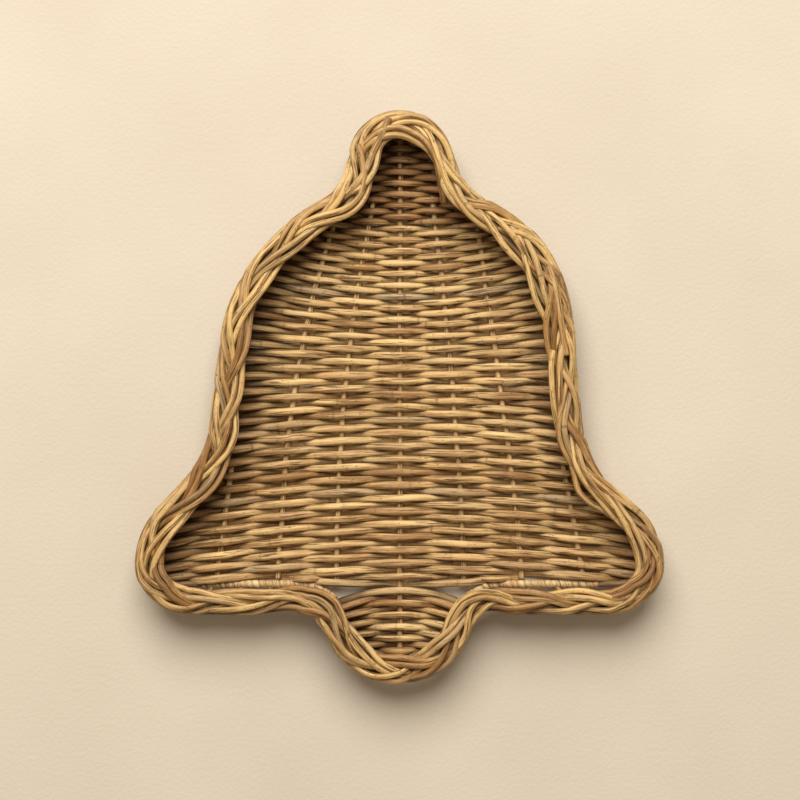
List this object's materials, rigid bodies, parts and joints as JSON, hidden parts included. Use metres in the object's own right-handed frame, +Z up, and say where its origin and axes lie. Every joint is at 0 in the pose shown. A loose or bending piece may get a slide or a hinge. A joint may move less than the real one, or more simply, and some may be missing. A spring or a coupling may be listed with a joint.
{
  "type": "serving tray",
  "caption": "Bell-shaped serving tray of woven rattan: flat woven floor, low staked wall and a thick plaited rim.",
  "frame": {"origin": "middle of the tray's footprint, on the surface that it stands on", "axes": "+Z up out of the tray, +Y towards the crown of the bell, +X to the right seen from above"},
  "size_m": [0.4021, 0.4346, 0.045],
  "materials": {
    "rattan_frame": "satin natural cane",
    "rattan_peel": "satin peeled cane",
    "rattan_ribs": "satin natural cane",
    "rattan_weavers": "satin natural cane",
    "rattan_wall": "satin natural cane",
    "rattan_plait": "satin natural cane"
  },
  "bodies": {
    "root": {"frame_rod": "rattan_frame", "hem_peel_left": "rattan_peel", "hem_peel_right": "rattan_peel", "rib_centre": "rattan_ribs", "rib_left_inner": "rattan_ribs", "rib_right_inner": "rattan_ribs", "rib_left_middle": "rattan_ribs", "rib_right_middle": "rattan_ribs", "rib_left_outer": "rattan_ribs", "rib_right_outer": "rattan_ribs", "hem_weaver": "rattan_weavers", "clapper_weaver_1": "rattan_weavers", "clapper_weaver_2": "rattan_weavers", "weaver_01": "rattan_weavers", "weaver_02": "rattan_weavers", "weaver_03": "rattan_weavers", "weaver_04": "rattan_weavers", "weaver_05": "rattan_weavers", "weaver_06": "rattan_weavers", "weaver_07": "rattan_weavers", "weaver_08": "rattan_weavers", "weaver_09": "rattan_weavers", "weaver_10": "rattan_weavers", "weaver_11": "rattan_weavers", "weaver_12": "rattan_weavers", "weaver_13": "rattan_weavers", "wall_stakes": "rattan_wall", "wall_rod_1": "rattan_wall", "wall_rod_2": "rattan_wall", "wall_rod_3": "rattan_wall", "wall_rod_4": "rattan_wall", "wall_rod_5": "rattan_wall", "plait_a_outer": "rattan_plait", "plait_a_inner": "rattan_plait", "plait_b_outer": "rattan_plait", "plait_b_inner": "rattan_plait", "plait_c_outer": "rattan_plait", "plait_c_inner": "rattan_plait", "plait_d_outer": "rattan_plait", "plait_d_inner": "rattan_plait", "plait_e_outer": "rattan_plait", "plait_e_inner": "rattan_plait", "plait_tail": "rattan_plait"}
  },
  "joints": []
}
